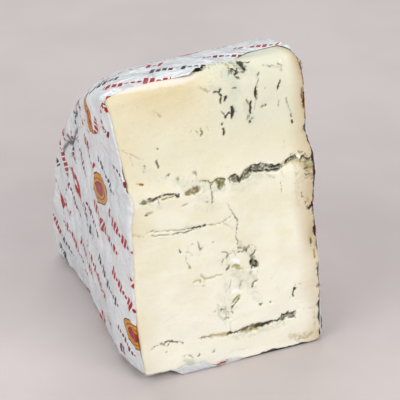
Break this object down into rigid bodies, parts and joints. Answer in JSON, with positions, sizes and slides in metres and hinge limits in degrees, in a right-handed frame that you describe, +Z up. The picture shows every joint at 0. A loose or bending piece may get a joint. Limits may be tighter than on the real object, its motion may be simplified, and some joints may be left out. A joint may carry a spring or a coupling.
{
  "type": "blue cheese wedge",
  "caption": "Wedge of soft blue-veined cheese, a quarter of a thick disc, resting on one cut side in its printed foil wrapper with the other cut side open.",
  "frame": {"origin": "centre of the outline on the surface that the wedge rests on", "axes": "+Z up, -Y out of the open cut face, +X across the thickness of the disc, to the right when looking at the cut face"},
  "size_m": [0.107, 0.1512, 0.1443],
  "materials": {
    "cheese": "soft creamy paste, slightly moist, ivory with grey-green mould veins and a beige rind",
    "foil": "thin crinkled foil with a pale satin coating, printed with rows of small red and dark marks"
  },
  "bodies": {
    "root": {"cheese": "cheese", "foil": "foil"}
  },
  "joints": []
}
